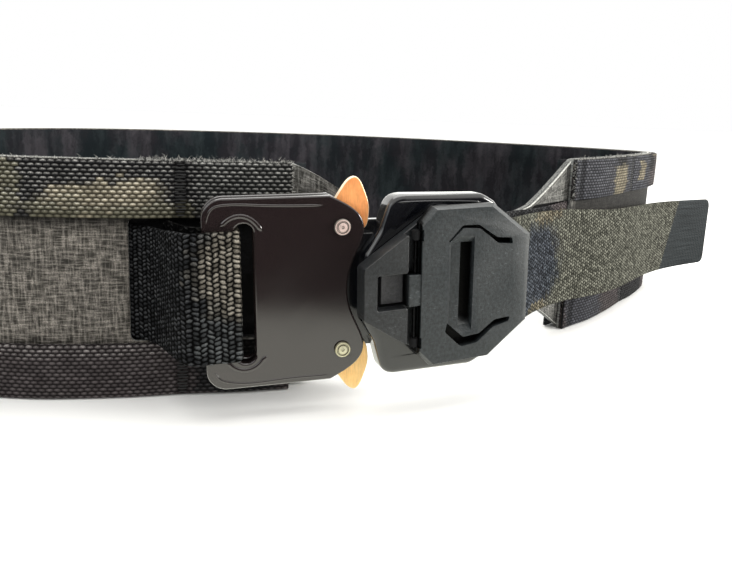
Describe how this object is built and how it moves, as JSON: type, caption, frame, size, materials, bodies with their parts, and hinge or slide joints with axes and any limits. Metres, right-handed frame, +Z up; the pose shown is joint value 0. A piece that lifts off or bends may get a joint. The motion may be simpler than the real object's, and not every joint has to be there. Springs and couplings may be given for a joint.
{
  "type": "battle belt",
  "caption": "Stiff padded load belt with camouflage webbing rows, closed in front by a metal quick-release buckle with a hinged cover and a free strap tail.",
  "frame": {"origin": "middle of the whole part's box in plan, on the floor that the belt's lower edge stands on", "axes": "+Z up; the buckle faces -Y; +X to the right of somebody who looks at the buckle, towards the free tail"},
  "size_m": [0.491, 0.303, 0.086],
  "materials": {
    "lining": "near-black brushed lining",
    "laminate": "grey coated laminate with a fine cross hatch",
    "webbing": "woven webbing with a woodland camouflage print",
    "buckle_black": "gloss black anodised",
    "bar_black": "satin black",
    "polymer": "matt moulded",
    "bronze": "satin bronze",
    "silver": "satin silver"
  },
  "bodies": {
    "belt": {"inner_liner": "lining", "inner_belt": "laminate", "outer_panel": "laminate", "upper_webbing": "webbing", "lower_webbing": "webbing", "left_strap": "webbing", "right_strap": "webbing", "buckle_front_plate": "buckle_black", "buckle_back_plate": "buckle_black", "male_housing": "buckle_black", "adjuster_bar": "bar_black", "cover_base": "polymer", "hinge_pin": "silver", "upper_rivet": "silver", "lower_rivet": "silver"},
    "upper_lever_body": {"upper_lever": "bronze"},
    "lower_lever_body": {"lower_lever": "bronze"},
    "cover": {"cover_plate": "polymer"}
  },
  "joints": [
    {"name": "upper_lever_hinge", "type": "hinge", "parent": "belt", "child": "upper_lever_body", "pos_m": [-0.04051, -0.13795, 0.06678], "axis": [-0.0541, 0.9985, 0], "range_deg": [0, 8], "stiffness_Nm_per_rad": 0.1, "springref_deg": -5.73},
    {"name": "lower_lever_hinge", "type": "hinge", "parent": "belt", "child": "lower_lever_body", "pos_m": [-0.03911, -0.13788, 0.0234], "axis": [0.0541, -0.9985, 0], "range_deg": [0, 8], "stiffness_Nm_per_rad": 0.1, "springref_deg": -5.73},
    {"name": "cover_hinge", "type": "hinge", "parent": "belt", "child": "cover", "pos_m": [-0.01508, -0.14627, 0.04576], "axis": [0.0316, 0.0064, -0.9995], "range_deg": [0, 95]}
  ]
}
